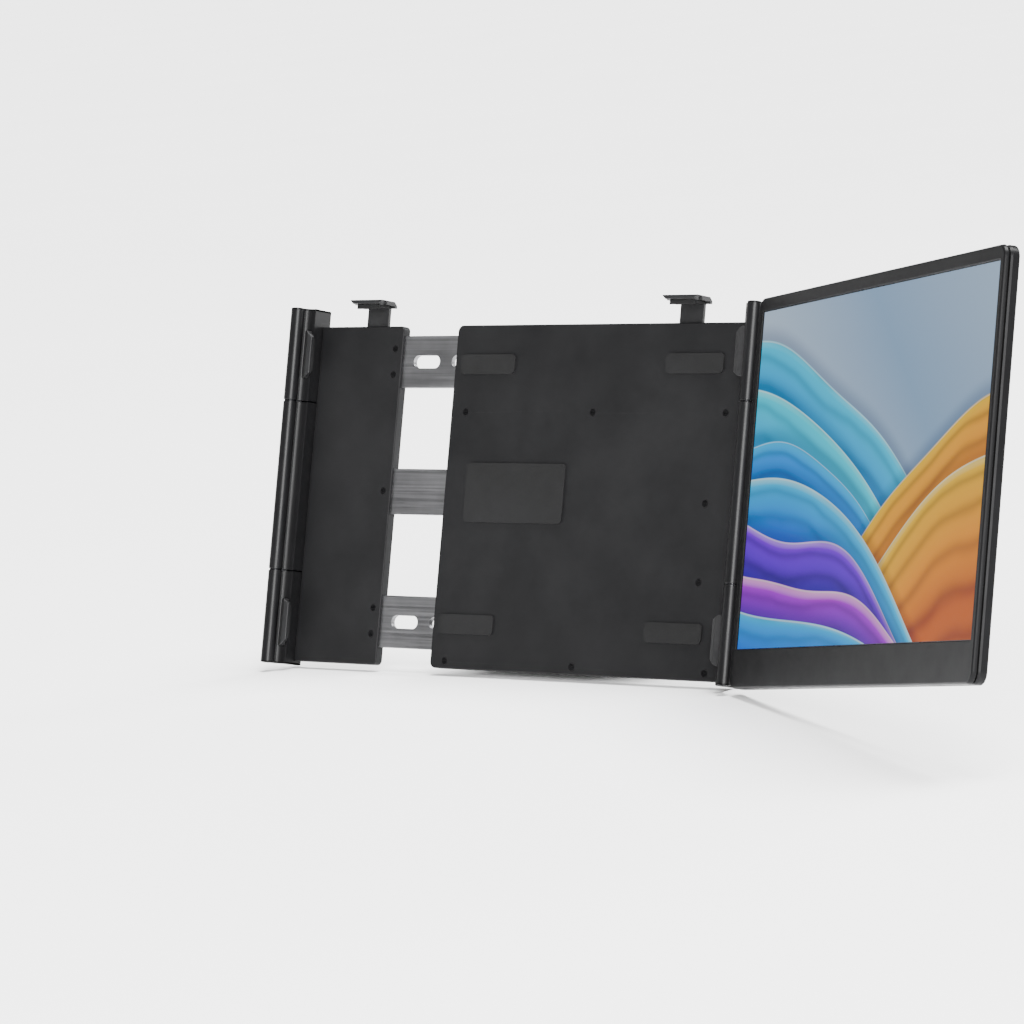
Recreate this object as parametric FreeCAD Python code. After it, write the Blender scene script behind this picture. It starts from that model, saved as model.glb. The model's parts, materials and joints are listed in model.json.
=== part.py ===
import FreeCAD, Part
import os
import math

os.makedirs("parts", exist_ok=True)
V = FreeCAD.Vector

# ---------------------------------------------------------------- dimensions
# Millimetres.  Everything is drawn upright first: x to the right along the
# hub, y to the rear, z up.  y = 0 is the front plane of the clamped lid and
# z = 0 the middle of that lid's picture.  The whole model is then leaned
# back and moved so that the origin is on the hub's central anti-slip pad.
LEAN = 14.8            # the clamped lid leans back
SWING = 30.0           # the screen stands this far forward of the hub
PROP = 25.0            # kickstand opening at rest

AX, AY = 185.2, -4.8   # column axis, right side (the left one is mirrored)
R_COL = 4.3            # column barrel radius
R_PIN = 2.0            # hinge pin radius
RUN = 0.06             # running clearance on the pins
Z_TOP, Z_BOT = 112.5, -109.6
Z_B1, Z_B2 = 54.3, -51.5    # the two breaks in each column
GAP = 1.0              # height of a break

PAD_Y = 5.8            # front face of the anti-slip pads (back of the lid)
PAD_T = 1.0
FP_Y0, FP_Y1 = 6.8, 8.6     # hub front plate
CAV0, CAV1 = 8.6, 12.2      # hub cavity
RC_Y1 = 14.2                # rear face of the hub
HUB_X0, HUB_X1 = -58.0, 174.4
HUB_Z0, HUB_Z1 = -107.0, 102.0
PAN_X0, PAN_X1 = -174.4, -104.0     # sliding panel on the left
PAN_Y0, PAN_Y1 = 7.2, 13.4
ARM_X0, ARM_X1 = -117.0, 20.0      # telescopic arms
ARM_Z0, ARM_Z1 = 64.0, 96.0
ARM_Y0, ARM_Y1 = 8.9, 11.9

HOOK_XR, HOOK_XL = 126.2, -128.6    # top hooks, right and left
HOOK_W = 27.2
STEM_W = 18.0

CLIP_ZI0, CLIP_ZI1 = 71.9, 94.6     # inner (short) edge of a side clip
CLIP_ZO0, CLIP_ZO1 = 69.1, 98.3     # outer (long) edge

# screen, in its own frame: u from the column axis, w to the rear, z up
U0, U1 = 4.8, 361.8
S_Z0, S_Z1 = -111.3, 113.6
DU0, DU1 = 12.0, 356.2              # picture area, 344.2 wide
DZ0, DZ1 = -88.45, 105.15           # picture area, 193.6 high
W_F, W_D = 1.2, 2.2                 # bezel front, display front
W_P0, W_P1 = 3.8, 4.9               # groove between the two shells
W_R = 10.2                          # rear face
S_WALL = 1.6
S_R = 7.0                           # corner radius of the screen
BTN_TRAVEL = 0.5

KS_Y, KS_Z = 17.0, 16.0             # kickstand pin
KS_X0, KS_X1 = -38.0, 112.0
KS_LEN = 121.0


# ------------------------------------------------------------------- helpers
def box(x0, x1, y0, y1, z0, z1):
    return Part.makeBox(x1 - x0, y1 - y0, z1 - z0, V(x0, y0, z0))


def cylz(x, y, z0, z1, r):
    return Part.makeCylinder(r, z1 - z0, V(x, y, z0), V(0, 0, 1))


def cyly(x, z, y0, y1, r):
    return Part.makeCylinder(r, y1 - y0, V(x, y0, z), V(0, 1, 0))


def cylx(y, z, x0, x1, r):
    return Part.makeCylinder(r, x1 - x0, V(x0, y, z), V(1, 0, 0))


def prism_xy(pts, z0, z1):
    w = Part.makePolygon([V(x, y, z0) for x, y in pts] + [V(pts[0][0], pts[0][1], z0)])
    return Part.Face(w).extrude(V(0, 0, z1 - z0))


def prism_yz(pts, x0, x1):
    w = Part.makePolygon([V(x0, y, z) for y, z in pts] + [V(x0, pts[0][0], pts[0][1])])
    return Part.Face(w).extrude(V(x1 - x0, 0, 0))


def prism_xz(pts, y0, y1):
    w = Part.makePolygon([V(x, y0, z) for x, z in pts] + [V(pts[0][0], y0, pts[0][1])])
    return Part.Face(w).extrude(V(0, y1 - y0, 0))


def rbox(x0, x1, y0, y1, z0, z1, r):
    """plate in the x-z plane with rounded corners"""
    b = box(x0, x1, y0, y1, z0, z1)
    es = [e for e in b.Edges if abs(e.tangentAt(e.FirstParameter).y) > 0.99]
    return b.makeFillet(r, es)


def pill(x, z, y0, y1, w, h):
    """stadium-shaped prism along y, w wide (x) and h high (z)"""
    r = min(w, h) / 2.0
    if abs(w - h) < 1e-6:
        return cyly(x, z, y0, y1, r)
    if w >= h:
        a = box(x - w / 2 + r, x + w / 2 - r, y0, y1, z - r, z + r)
        return a.fuse([cyly(x - w / 2 + r, z, y0, y1, r), cyly(x + w / 2 - r, z, y0, y1, r)]).removeSplitter()
    a = box(x - r, x + r, y0, y1, z - h / 2 + r, z + h / 2 - r)
    return a.fuse([cyly(x, z - h / 2 + r, y0, y1, r), cyly(x, z + h / 2 - r, y0, y1, r)]).removeSplitter()


def mirror(s):
    return s.mirror(V(0, 0, 0), V(1, 0, 0))


def soften(s, r, pick):
    es = [e for e in s.Edges if pick(e)]
    try:
        t = s.makeFillet(r, es)
        if t.isValid() and t.Volume > 0:
            return t
    except Exception:
        pass
    return s


def bevel(s, r, pick):
    es = [e for e in s.Edges if pick(e)]
    try:
        t = s.makeChamfer(r, es)
        if t.isValid() and t.Volume > 0:
            return t
    except Exception:
        pass
    return s


def on_plane(e, axis, val, tol=1e-4):
    return all(abs(getattr(v.Point, axis) - val) < tol for v in e.Vertexes)


def lean(s):
    s = s.copy()
    s.rotate(V(0, 0, 0), V(1, 0, 0), -LEAN)
    c, k = math.cos(math.radians(LEAN)), math.sin(math.radians(LEAN))
    s.translate(V(0, -PAD_Y * c, PAD_Y * k))
    return s


def screen_place(s):
    s = s.copy()
    s.rotate(V(0, 0, 0), V(0, 0, 1), -SWING)
    s.translate(V(AX, AY, 0))
    return s


OUT = {}


def put(name, shapes):
    if not isinstance(shapes, (list, tuple)):
        shapes = [shapes]
    OUT[name] = [lean(s) for s in shapes]


# ------------------------------------------------------------------ columns
WEB = [(174.6, -0.2), (181.0, -0.2), (182.4, -2.4), (AX, AY), (184.6, -1.0),
       (179.6, 2.6), (178.2, 5.5), (178.2, RC_Y1), (174.6, RC_Y1)]


def column(z0, z1, bore, web=True):
    s = cylz(AX, AY, z0, z1, R_COL)
    if web:
        s = s.fuse(prism_xy(WEB, z0, z1)).removeSplitter()
    s = s.cut(cylz(AX, AY, z0 - 1, z1 + 1, bore))
    return s


CAP = 1.6
segs = {"upper": (Z_B1 + GAP / 2, Z_TOP - CAP), "middle": (Z_B2 + GAP / 2, Z_B1 - GAP / 2),
        "lower": (Z_BOT + CAP, Z_B2 - GAP / 2)}
right_upper = column(*segs["upper"], R_PIN)
right_lower = column(*segs["lower"], R_PIN)
put("right_column_upper", right_upper)
put("right_column_lower", right_lower)


def caps():
    top = cylz(AX, AY, Z_TOP - CAP, Z_TOP, R_COL).fuse(prism_xy(WEB, Z_TOP - CAP, Z_TOP)).removeSplitter()
    bot = cylz(AX, AY, Z_BOT, Z_BOT + CAP, R_COL).fuse(prism_xy(WEB, Z_BOT, Z_BOT + CAP)).removeSplitter()
    top = bevel(top, 1.0, lambda e: on_plane(e, "z", Z_TOP))
    bot = bevel(bot, 1.0, lambda e: on_plane(e, "z", Z_BOT))
    return [top, bot]


cp = caps()
put("right_column_caps", cp)
put("left_column_caps", [mirror(s) for s in cp])
for k in segs:
    put("left_column_" + k, mirror(column(*segs[k], R_PIN)))
put("left_column_rod", mirror(cylz(AX, AY, -100.0, 102.0, R_PIN)))
put("hinge_pins", [cylz(AX, AY, 18.0, 96.0, R_PIN), cylz(AX, AY, -94.0, -16.0, R_PIN)])


def washer(z):
    return cylz(AX, AY, z - 0.3, z + 0.3, 3.9).cut(cylz(AX, AY, z - 1, z + 1, R_PIN))


put("hinge_washers", [washer(Z_B1), washer(Z_B2)])


# on the left the breaks are only grooves: a spacer of the column's own shape, set in all round
def spacer(z):
    s = cylz(AX, AY, z - GAP / 2, z + GAP / 2, 3.7).fuse(
        prism_xy([(175.3, 0.5), (180.9, 0.5), (183.4, -3.0), (AX, AY), (184.0, -1.6), (179.0, 2.2), (177.5, 5.4),
                  (177.5, RC_Y1 - 0.7), (175.3, RC_Y1 - 0.7)], z - GAP / 2, z + GAP / 2)).removeSplitter()
    return s.cut(cylz(AX, AY, z - 1, z + 1, R_PIN))


put("left_column_washers", [mirror(spacer(Z_B1)), mirror(spacer(Z_B2))])

# ------------------------------------------------------------- side clips
CLIP = [(172.2, -1.9), (172.2, -3.8), (172.5, -4.1), (175.0, -4.9), (178.8, -3.4), (179.4, -2.4),
        (179.4, -0.2), (175.6, -0.2), (175.6, -1.9)]


def clip(sign):
    s = prism_xy(CLIP, CLIP_ZO0, CLIP_ZO1)
    trap = prism_xz([(171.0, CLIP_ZI0 - 0.9), (171.0, CLIP_ZI1 + 0.9), (172.2, CLIP_ZI1),
                     (176.4, CLIP_ZO1), (181.0, CLIP_ZO1), (181.0, CLIP_ZO0), (176.4, CLIP_ZO0), (172.2, CLIP_ZI0)],
                    -8.0, 4.0)
    s = s.common(trap)
    p = box(172.6, 175.5, -1.9, -0.4, CLIP_ZI0 + 1.2, CLIP_ZI1 - 1.2)
    if sign < 0:
        s = s.mirror(V(0, 0, 0), V(0, 0, 1))
        p = p.mirror(V(0, 0, 0), V(0, 0, 1))
    return s, p


cu, pu = clip(1)
cl, pl = clip(-1)
put("right_clip_upper", cu)
put("right_clip_lower", cl)
put("right_clip_pads", [pu, pl])
put("left_clip_upper", mirror(cu))
put("left_clip_lower", mirror(cl))
put("left_clip_pads", [mirror(pu), mirror(pl)])

# --------------------------------------------------------------------- hub
front = rbox(HUB_X0, HUB_X1, FP_Y0, FP_Y1, HUB_Z0, HUB_Z1, 4.0)
front = bevel(front, 0.5, lambda e: on_plane(e, "y", FP_Y0))
SCREWS = [(x, z) for x in (-46.0, 57.0, 160.0) for z in (-102.5, 49.0)] + [(150.0, -50.0), (150.0, -4.0)]
rear = rbox(HUB_X0, HUB_X1, FP_Y1, RC_Y1, HUB_Z0, HUB_Z1, 4.0)
rear = soften(rear, 1.2, lambda e: on_plane(e, "y", RC_Y1))
rear = rear.cut(box(HUB_X0 + 2.0, HUB_X1 - 2.0, CAV0 - 1, CAV1, HUB_Z0 + 2.0, HUB_Z1 - 2.0))
# slots for the two arms and the spring tongue, and for the hook's stem
for z0, z1 in ((ARM_Z0, ARM_Z1), (-ARM_Z1, -ARM_Z0), (-14.0, 14.0)):
    rear = rear.cut(box(HUB_X0 - 1, HUB_X0 + 3, CAV0 - 1, CAV1, z0 - 0.4, z1 + 0.4))
rear = rear.cut(box(HOOK_XR - STEM_W / 2 - 0.3, HOOK_XR + STEM_W / 2 + 0.3, CAV0 - 1, 11.3, HUB_Z1 - 3, HUB_Z1 + 1))
bosses = []
for x, z in SCREWS:
    b = cyly(x, z, CAV0, CAV1 + 0.4, 3.0)
    bosses.append(b)
rear = rear.fuse(bosses).removeSplitter()
for x, z in SCREWS:
    rear = rear.cut(cyly(x, z, CAV0 - 1, 12.6, 0.9))
    front = front.cut(cyly(x, z, FP_Y0 - 1, FP_Y1 + 1, 1.1)).cut(cyly(x, z, FP_Y0 - 1, FP_Y0 + 1.0, 2.2))
put("hub_front_plate", front)


def screw(x, z):
    return cyly(x, z, FP_Y0 + 0.1, FP_Y0 + 0.9, 2.0).fuse(cyly(x, z, FP_Y0 + 0.9, 12.3, 0.85)).cut(
        box(x - 1.2, x + 1.2, FP_Y0, FP_Y0 + 0.5, z - 0.25, z + 0.25)).removeSplitter()


put("hub_screws", [screw(x, z) for x, z in SCREWS])

rails = []
for z0, z1 in ((ARM_Z1 + 0.3, 99.2), (59.0, ARM_Z0 - 0.3)):
    rails.append(box(HUB_X0 + 2.2, 90.0, CAV0, CAV1, z0, z1))
    rails.append(box(HUB_X0 + 2.2, 90.0, CAV0, CAV1, -z1, -z0))
put("guide_rails", rails)
put("hook_guides", [box(HOOK_XR - STEM_W / 2 - 6.0, HOOK_XR - STEM_W / 2 - 0.3, CAV0, CAV1, 62.0, 99.2),
                    box(HOOK_XR + STEM_W / 2 + 0.3, HOOK_XR + STEM_W / 2 + 6.0, CAV0, CAV1, 62.0, 99.2)])

# anti-slip pads on the front: one in the middle, four round it
put("lid_pad_center", rbox(-40.0, 40.0, PAD_Y, FP_Y0, -18.0, 18.0, 3.0))
put("lid_pads", [rbox(x - 22.0, x + 22.0, PAD_Y, FP_Y0, z - 6.0, z + 6.0, 3.0)
                 for x in (-30.0, 134.0) for z in (78.0, -80.0)])

# ---------------------------------------------------------- sliding panel
panel = box(PAN_X0, PAN_X1, PAN_Y0, PAN_Y1, HUB_Z0, HUB_Z1)
panel = soften(panel, 3.0, lambda e: abs(e.tangentAt(e.FirstParameter).y) > 0.99 and e.Vertexes[0].Point.x > -110)
panel = soften(panel, 0.8, lambda e: on_plane(e, "y", PAN_Y1) or on_plane(e, "y", PAN_Y0))
panel = panel.cut(box(HOOK_XL - STEM_W / 2 - 0.3, HOOK_XL + STEM_W / 2 + 0.3, 8.6, 11.2, 58.0, HUB_Z1 + 1))
for s in (1, -1):
    z0, z1 = (ARM_Z0, ARM_Z1) if s > 0 else (-ARM_Z1, -ARM_Z0)
    panel = panel.cut(box(ARM_X0, PAN_X1 + 1, ARM_Y0, ARM_Y1, z0, z1))
panel = panel.cut(box(ARM_X0, PAN_X1 + 1, ARM_Y0, ARM_Y1, -14.0, 14.0))
PSCREW = [(-110.0, z) for z in (72.0, 88.0, -72.0, -88.0, 0.0)]
for x, z in PSCREW:
    panel = panel.cut(cyly(x, z, PAN_Y0 - 1, 12.8, 0.9)).cut(cyly(x, z, PAN_Y0 - 1, PAN_Y0 + 0.9, 2.1))
put("left_panel", panel)


def arm(z0, z1, x1):
    a = box(ARM_X0, x1, ARM_Y0, ARM_Y1, z0, z1)
    a = soften(a, 2.0, lambda e: abs(e.tangentAt(e.FirstParameter).y) > 0.99 and e.Vertexes[0].Point.x > -60)
    for x, z in PSCREW:
        if z0 < z < z1:
            a = a.cut(cyly(x, z, ARM_Y0 - 1, ARM_Y1 + 1, 0.9))
    return a


au = arm(ARM_Z0, ARM_Z1, ARM_X1)
# lightening slots along the arm
for x in (-84.0, -52.0, -16.0):
    au = au.cut(pill(x, 80.0, ARM_Y0 - 1, ARM_Y1 + 1, 22.0, 8.0))
put("left_arm_upper", au)
put("left_arm_lower", au.mirror(V(0, 0, 0), V(0, 0, 1)))
tongue = arm(-14.0, 14.0, -40.0)
for z in (-8.0, 8.0):
    tongue = tongue.cut(cyly(-45.0, z, ARM_Y0 - 1, ARM_Y1 + 1, 1.2))
put("spring_tongue", tongue)


def pscrew(x, z):
    return cyly(x, z, PAN_Y0 + 0.1, PAN_Y0 + 0.9, 1.9).fuse(cyly(x, z, PAN_Y0 + 0.9, 12.6, 0.85)).cut(
        box(x - 1.1, x + 1.1, PAN_Y0, PAN_Y0 + 0.5, z - 0.25, z + 0.25)).removeSplitter()


put("left_panel_screws", [pscrew(x, z) for x, z in PSCREW])


# two tension springs between the tongue and a post in the hub
# the springs hook over the tongue's holes and the post
def spring(z):
    body = cylx(10.4, z, -36.0, 88.0, 1.5)
    ha = cylx(10.4, z, -38.9, -36.0, 0.4)
    hb = cylx(10.4, z, 88.0, 90.9, 0.4)
    return body.fuse([ha, hb]).removeSplitter()


put("clamp_springs", [spring(-8.0), spring(8.0)])
post = box(91.2, 99.0, CAV0, CAV1, -13.0, 13.0)
post = soften(post, 1.2, lambda e: abs(e.tangentAt(e.FirstParameter).y) > 0.99)
put("spring_anchor", post)


# ----------------------------------------------------------------- top hooks
def hook(x):
    hw, sw = HOOK_W / 2, STEM_W / 2
    head = prism_yz([(-3.4, 114.9), (-3.4, 116.8), (-3.0, 117.2), (8.6, 117.2), (10.9, 114.9),
                     (10.9, 113.2), (8.9, 113.2), (8.9, 114.6), (0.2, 114.6), (0.2, 114.05)], x - hw, x + hw)
    # the front ends slope inwards going down, and the plan's corners are broken
    for s in (1, -1):
        wedge = prism_xz([(x + s * hw, 117.2), (x + s * (hw + 2.0), 117.2), (x + s * (hw + 2.0), 113.0),
                          (x + s * (hw - 4.8), 113.0)], -5.0, 1.4)
        head = head.cut(wedge)
    head = bevel(head, 0.35, lambda e: on_plane(e, "z", 117.2))
    stem = box(x - sw, x + sw, 8.9, 10.9, 68.0, 114.0)
    s = head.fuse(stem).removeSplitter()
    for z in (76.0, 92.0):
        s = s.cut(pill(x, z, 8.0, 12.0, 7.0, 9.0))
    pad = prism_yz([(-1.3, 114.404), (0.2, 114.05), (0.2, 114.6), (8.7, 114.6), (8.7, 113.2), (-0.4, 113.2),
                    (-0.4, 111.8), (-1.3, 111.8)], x - hw + 4.6, x + hw - 3.4)
    return s, pad


hr, hrp = hook(HOOK_XR)
hl, hlp = hook(HOOK_XL)
put("right_hook", hr)
put("right_hook_pad", hrp)
put("left_hook", hl)
put("left_hook_pad", hlp)

# ---------------------------------------------------------------- kickstand
# brackets and pin on the hub's rear, and the leg that turns on the pin
KX = [(KS_X0 + 18.0, KS_X0 + 34.0), (KS_X1 - 34.0, KS_X1 - 18.0)]
brk = []
for a, b in KX:
    for p, q in ((a - 4.4, a - 0.4), (b + 0.4, b + 4.4)):
        s = box(p, q, RC_Y1, KS_Y, KS_Z - 4.0, KS_Z + 4.0).fuse(cylx(KS_Y, KS_Z, p, q, 2.6)).removeSplitter()
        s = s.cut(cylx(KS_Y, KS_Z, p - 1, q + 1, 1.2))
        brk.append(s)
put("kickstand_brackets", brk)
put("kickstand_pins", [cylx(KS_Y, KS_Z, a - 4.6, b + 4.6, 1.2) for a, b in KX])
leg = rbox(KS_X0, KS_X1, RC_Y1 + 0.5, RC_Y1 + 2.7, KS_Z - KS_LEN + 2.4, KS_Z - 5.2, 6.0)
leg = soften(leg, 0.7, lambda e: on_plane(e, "y", RC_Y1 + 2.7))
knk = []
for a, b in KX:
    k = cylx(KS_Y, KS_Z, a, b, 2.4).fuse(box(a, b, RC_Y1 + 0.9, RC_Y1 + 2.7, KS_Z - 8.0, KS_Z)).removeSplitter()
    knk.append(k)
leg = leg.fuse(knk).removeSplitter()
for a, b in KX:
    leg = leg.cut(cylx(KS_Y, KS_Z, a - 1, b + 1, 1.2 + RUN))
# finger cut-out at the lower edge and a shallow stiffening recess
leg = leg.cut(pill((KS_X0 + KS_X1) / 2, KS_Z - KS_LEN / 2 - 6.0, RC_Y1 + 2.1, RC_Y1 + 4.0, 104.0, 56.0))
foot = rbox(KS_X0 + 8.0, KS_X1 - 8.0, RC_Y1 + 0.3, RC_Y1 + 2.9, KS_Z - KS_LEN, KS_Z - KS_LEN + 5.0, 1.0)
leg = leg.cut(foot)


def prop(s):
    s = s.copy()
    s.rotate(V(0, KS_Y, KS_Z), V(1, 0, 0), PROP)
    return s


put("kickstand", prop(leg))
put("kickstand_foot", prop(foot))
# shallow pocket in the hub's rear that takes the tips of the leg's knuckles
for a, b in KX:
    rear = rear.cut(cylx(KS_Y, KS_Z, a - 0.2, b + 0.2, 3.0))
put("hub_rear_cover", rear)

# ------------------------------------------------------------------- screen
sp = {}
# front frame
f = rbox(U0, U1, W_F, W_P0, S_Z0, S_Z1, S_R)
f = soften(f, 1.0, lambda e: on_plane(e, "y", W_F))
f = f.cut(box(DU0 - 0.5, DU1 + 0.5, W_F - 1, W_P0 + 1, DZ0 - 0.5, DZ1 + 0.5))
LU0, LU1, LZ0, LZ1 = 8.6, 359.4, -97.0, 109.4
f = f.cut(box(LU0, LU1, W_D, W_P0 + 1, LZ0, LZ1))
f = f.cut(box(LU0, LU1, W_D + 0.6, W_P0 + 1, S_Z0 + 2.2, LZ0 + 1.0))
sp["screen_front_frame"] = [f]
sp["display_panel"] = [box(LU0 + 0.2, LU1 - 0.2, W_D, W_D + 1.2, LZ0 + 0.2, LZ1 - 0.2)]
sp["backlight_unit"] = [box(LU0 + 0.2, LU1 - 0.2, W_D + 1.2, W_D + 3.4, LZ0 + 0.2, LZ1 - 0.2)]
# gasket in the groove
g = rbox(U0 + 0.9, U1 - 0.9, W_P0, W_P1, S_Z0 + 0.9, S_Z1 - 0.9, S_R - 0.9)
g = g.cut(rbox(U0 + 2.6, U1 - 1.9, W_P0 - 1, W_P1 + 1, S_Z0 + 2.2, S_Z1 - 3.6, 2.0))
sp["shell_gasket"] = [g]
# rear shell
r = rbox(U0, U1, W_P1, W_R, S_Z0, S_Z1, S_R)
r = soften(r, 1.4, lambda e: on_plane(e, "y", W_R))
r = bevel(r, 0.6, lambda e: on_plane(e, "y", W_P1))
r = r.cut(rbox(U0 + S_WALL, U1 - S_WALL, W_P1 - 1, W_R - S_WALL, S_Z0 + S_WALL, S_Z1 - S_WALL, S_R - S_WALL))
# sockets in the bottom wall
PORTS = [(46.0, 8.6, 2.9), (64.0, 8.6, 2.9), (84.0, 11.0, 2.8)]
WP = 6.9


def stadium_z(u, w, h, z0, z1):
    """stadium prism along z, w wide (u) and h deep (w)"""
    rr = h / 2.0 - 0.02
    a = box(u - w / 2 + rr, u + w / 2 - rr, WP - rr, WP + rr, z0, z1)
    return a.fuse([cylz(u - w / 2 + rr, WP, z0, z1, rr), cylz(u + w / 2 - rr, WP, z0, z1, rr)]).removeSplitter()


for u, w, h in PORTS:
    if w < 10:
        r = r.cut(stadium_z(u, w, h, S_Z0 - 1, S_Z0 + 3))
    else:
        r = r.cut(box(u - w / 2, u + w / 2, WP - h / 2, WP + h / 2, S_Z0 - 1, S_Z0 + 3))
# sound slots in the rear face, low down, left and right
for uc in (150.0, 300.0):
    for i in range(7):
        r = r.cut(pill(uc + (i - 3) * 4.0, -100.0, W_R - 3, W_R + 1, 1.4, 7.0))
BU = 338.0
BTN = {"power_button": (BU, 24.0, 7.0, 7.0), "plus_button": (BU, 8.0, 5.0, 11.0), "minus_button": (BU, -6.0, 5.0, 11.0)}
for n, (u, z, w, h) in BTN.items():
    r = r.cut(pill(u, z, W_R - 3, W_R + 1, w + 0.6, h + 0.6))
    sp[n] = [pill(u, z, 8.75, W_R + 0.7, w, h).fuse(pill(u, z, 7.95, 8.55, w + 2.4, h + 1.6)).fuse(
        pill(u, z, 8.5, 8.8, w, h)).removeSplitter()]
    sp[n][0] = soften(sp[n][0], 0.3, lambda e: on_plane(e, "y", W_R + 0.7))
# feet screws of the rear shell
SS = [(16.0, 106.0), (16.0, -104.0), (350.0, 106.0), (350.0, -104.0), (183.0, 109.0), (225.0, -104.0)]
for u, z in SS:
    r = r.fuse(cyly(u, z, 5.8, W_R - S_WALL + 0.2, 2.4)).removeSplitter()
    r = r.cut(cyly(u, z, 5.0, W_R + 1, 0.9)).cut(cyly(u, z, W_R - 0.9, W_R + 1, 1.9))
sp["screen_screws"] = [cyly(u, z, W_R - 0.9, W_R - 0.1, 1.8).fuse(cyly(u, z, 5.9, W_R - 0.9, 0.85)).cut(
    box(u - 1.1, u + 1.1, W_R - 0.5, W_R, z - 0.25, z + 0.25)).cut(
    box(u - 0.25, u + 0.25, W_R - 0.5, W_R, z - 1.1, z + 1.1)).removeSplitter() for u, z in SS]
# sockets
usb = []
for u, w, h in PORTS[:2]:
    o = stadium_z(u, w, h, S_Z0 + 0.15, S_Z0 + 7.6)
    rr = h / 2 - 0.02 - 0.25
    i = box(u - w / 2 + 0.25 + rr, u + w / 2 - 0.25 - rr, WP - rr, WP + rr, S_Z0 - 1, S_Z0 + 6.4).fuse(
        [cylz(u - w / 2 + 0.25 + rr, WP, S_Z0 - 1, S_Z0 + 6.4, rr), cylz(u + w / 2 - 0.25 - rr, WP, S_Z0 - 1, S_Z0 + 6.4, rr)]).removeSplitter()
    o = o.cut(i)
    o = o.fuse(box(u - 3.2, u + 3.2, WP - 0.35, WP + 0.35, S_Z0 + 1.0, S_Z0 + 6.6)).removeSplitter()
    usb.append(o)
sp["usb_c_sockets"] = usb
u, w, h = PORTS[2]
o = box(u - w / 2, u + w / 2, WP - h / 2, WP + h / 2, S_Z0 + 0.15, S_Z0 + 7.4)
o = o.cut(box(u - w / 2 + 0.3, u + w / 2 - 0.3, WP - h / 2 + 0.3, WP + h / 2 - 0.3, S_Z0 - 1, S_Z0 + 6.2))
o = o.fuse(box(u - 3.6, u + 3.6, WP - 0.3, WP + 0.3, S_Z0 + 1.0, S_Z0 + 6.4)).removeSplitter()
sp["video_socket"] = [o]
# boards
b = box(30.0, 128.0, 6.4, 7.4, -103.4, -62.0)
b = b.fuse([box(52.0, 66.0, 7.4, 8.3, -86.0, -72.0), box(84.0, 94.0, 7.4, 8.3, -90.0, -80.0),
            box(104.0, 112.0, 7.4, 8.2, -84.0, -76.0)]).removeSplitter()
sp["driver_board"] = [b]
sp["button_board"] = [box(BU - 6.0, BU + 6.0, 6.2, 7.0, -18.0, 34.0).fuse(
    [box(BU - 2.2, BU + 2.2, 7.0, 7.35, z - 2.2, z + 2.2) for z in (24.0, 8.0, -6.0)]).removeSplitter()]
sp["speakers"] = [box(uc - 16.0, uc + 16.0, 5.9, 8.5, -108.6, -97.6) for uc in (150.0, 300.0)]
sp["ribbon_cable"] = [box(128.2, 331.8, 6.5, 6.8, -40.0, -34.0)]
sp["ribbon_cable"] = [prism_xz([(110.0, -61.8), (118.0, -61.8), (118.0, -46.0), (331.8, -18.2 + 10.0),
                                (331.8, -18.2 + 18.0), (110.0, -38.0)], 6.5, 6.8)]
# knuckle and hinge leaves
KZ0, KZ1 = segs["middle"]
leafs = []
for z0, z1 in ((22.0, 48.0), (-46.0, -20.0)):
    c = cylz(0, 0, z0, z1, 2.95)
    lf = prism_xy([(-0.3, 2.3), (1.6, 2.0), (5.6, 5.85), (38.0, 5.85), (38.0, 7.05), (5.0, 7.05), (0.9, 2.9),
                   (-0.3, 2.95)], z0, z1)
    c = c.fuse(lf).removeSplitter().cut(cylz(0, 0, z0 - 1, z1 + 1, R_PIN + RUN))
    for uu in (18.0, 31.0):
        for zz in (z0 + 6.0, z1 - 6.0):
            c = c.cut(cyly(uu, zz, 5.0, 8.0, 1.1))
    leafs.append(c)
sp["hinge_leaves"] = leafs
kn = cylz(0, 0, KZ0, KZ1, R_COL).fuse(prism_xy([(0, 0), (2.4, -3.4), (3.4, -2.2), (U0, W_F + 1.0), (U0, 8.4), (2.2, 3.4)], KZ0, KZ1)).removeSplitter()
kn = kn.cut(cylz(0, 0, KZ0 - 1, KZ1 + 1, R_PIN + RUN))
for c in leafs:
    kn = kn.cut(c)
for z0, z1 in ((22.0, 48.0), (-46.0, -20.0)):
    kn = kn.cut(cylz(0, 0, z0, z1, 2.95))
    slot = prism_xy([(-0.3, 2.3), (1.6, 2.0), (5.6, 5.85), (9.0, 5.85), (9.0, 7.05), (5.0, 7.05), (0.9, 2.9),
                     (-0.3, 2.95)], z0, z1)
    kn = kn.cut(slot)
    r = r.cut(slot)
    for uu in (18.0, 31.0):
        for zz in (z0 + 6.0, z1 - 6.0):
            r = r.fuse(cyly(uu, zz, 7.05, W_R - S_WALL + 0.2, 2.0)).removeSplitter()
            r = r.cut(cyly(uu, zz, 6.0, W_R - S_WALL, 0.8))
sp["hinge_leaf_screws"] = [cyly(uu, zz, 5.7, 6.2, 1.0).fuse(cyly(uu, zz, 6.2, 8.4, 0.75)).removeSplitter()
                           for z0, z1 in ((22.0, 48.0), (-46.0, -20.0)) for uu in (18.0, 31.0)
                           for zz in (z0 + 6.0, z1 - 6.0)]
sp["screen_knuckle"] = [kn]
sp["screen_rear_shell"] = [r]
for n, ss in sp.items():
    put(n, [screen_place(s) for s in ss])

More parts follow.
